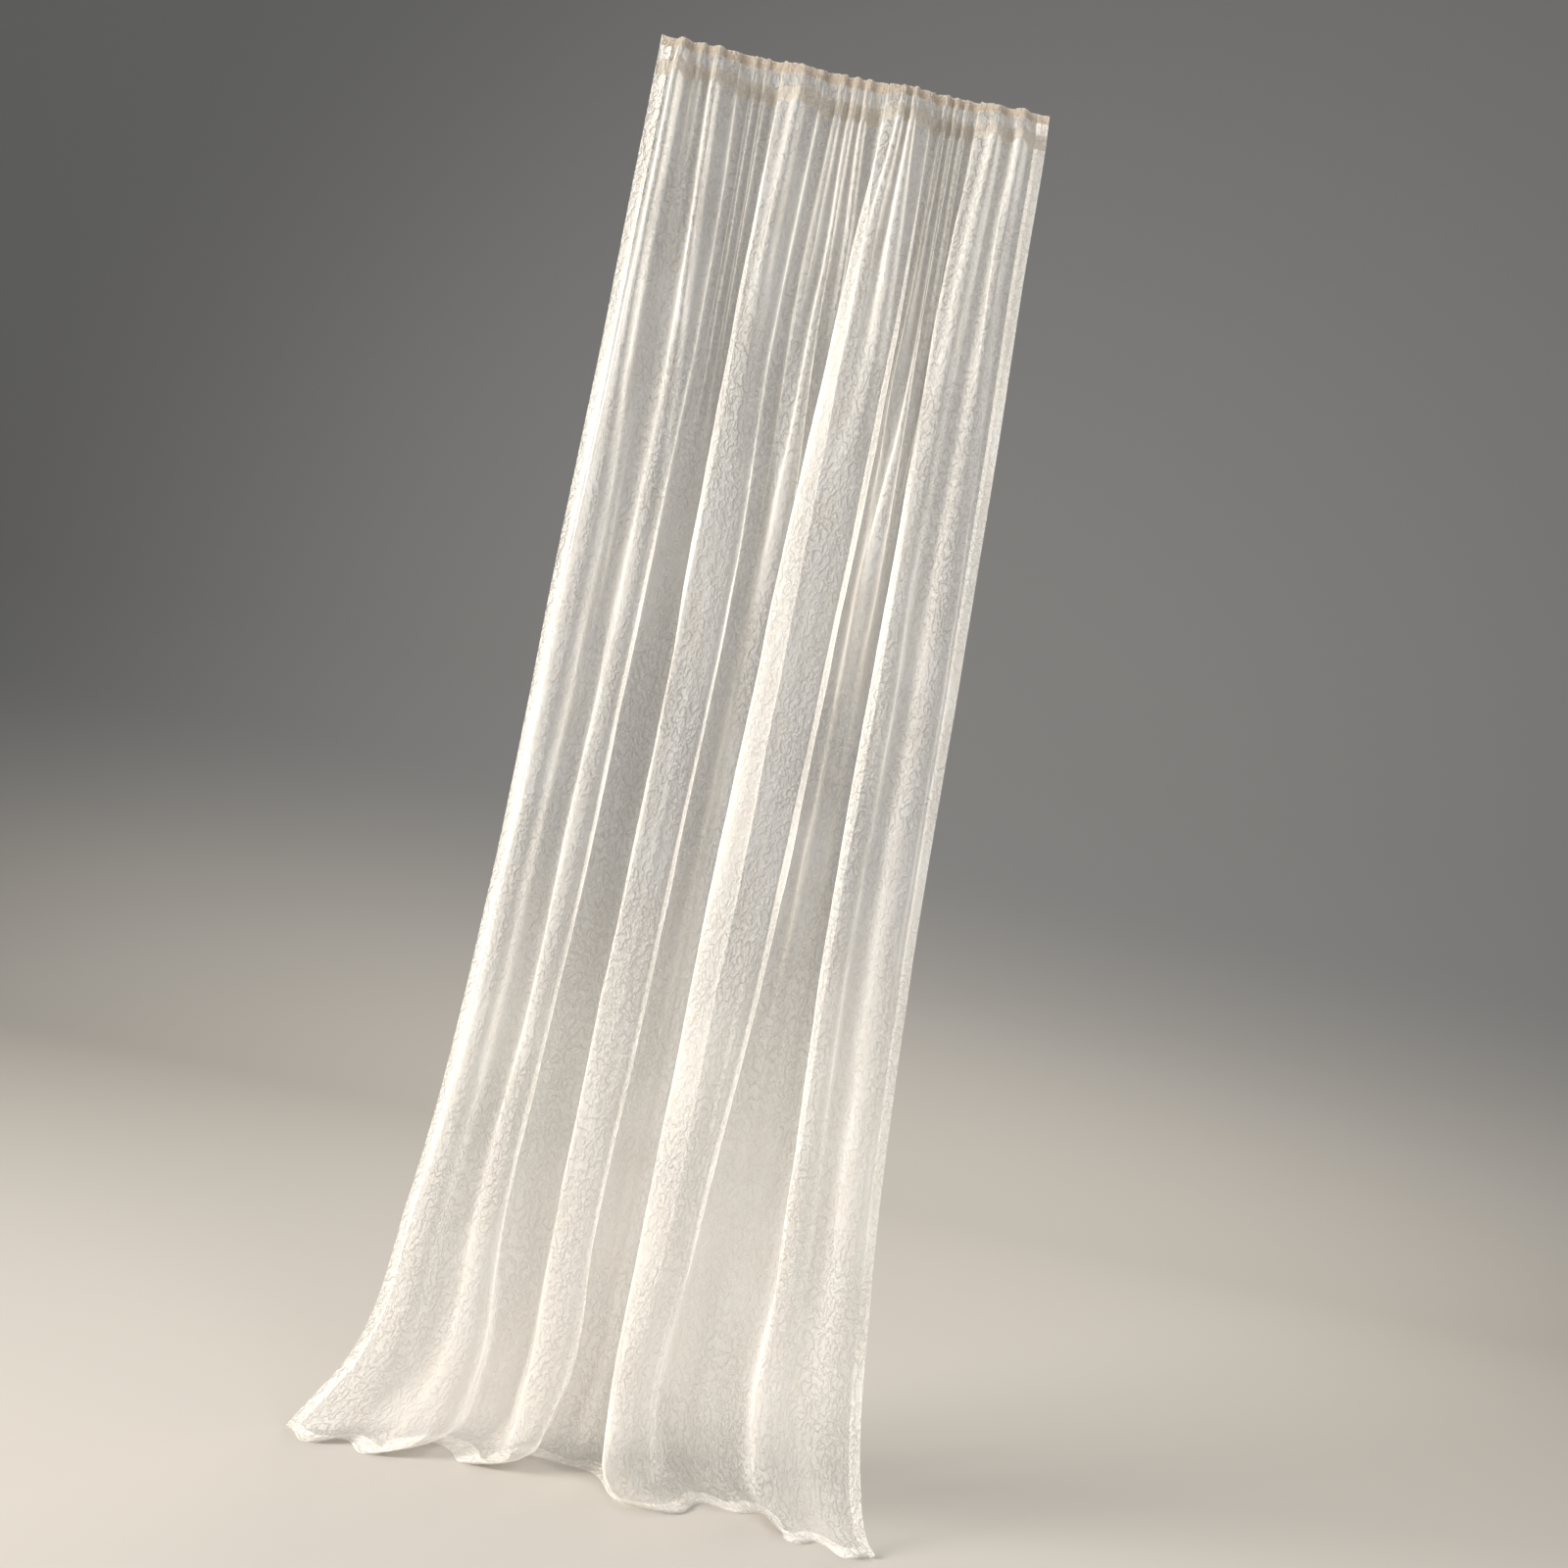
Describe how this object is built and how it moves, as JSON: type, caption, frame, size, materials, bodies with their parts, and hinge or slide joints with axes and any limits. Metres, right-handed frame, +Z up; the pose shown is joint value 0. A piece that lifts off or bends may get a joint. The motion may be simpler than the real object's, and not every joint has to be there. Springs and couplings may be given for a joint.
{
  "type": "sheer voile curtain panel",
  "caption": "Floor-length sheer voile curtain panel, gathered on a heading tape, in soft vertical folds that run out on the floor.",
  "frame": {"origin": "middle of the gathered top edge, on the plane in which the curtain hangs", "axes": "+Z up along the drop, +X to the right as seen from the room, -Y towards the room"},
  "size_m": [1.0896, 0.1694, 2.6411],
  "materials": {
    "voile": "sheer crinkled voile, warm off-white, matt",
    "heading_tape": "woven gathering tape, pale beige, matt"
  },
  "bodies": {
    "root": {"voile_panel": "voile", "heading_tape": "heading_tape"}
  },
  "joints": []
}
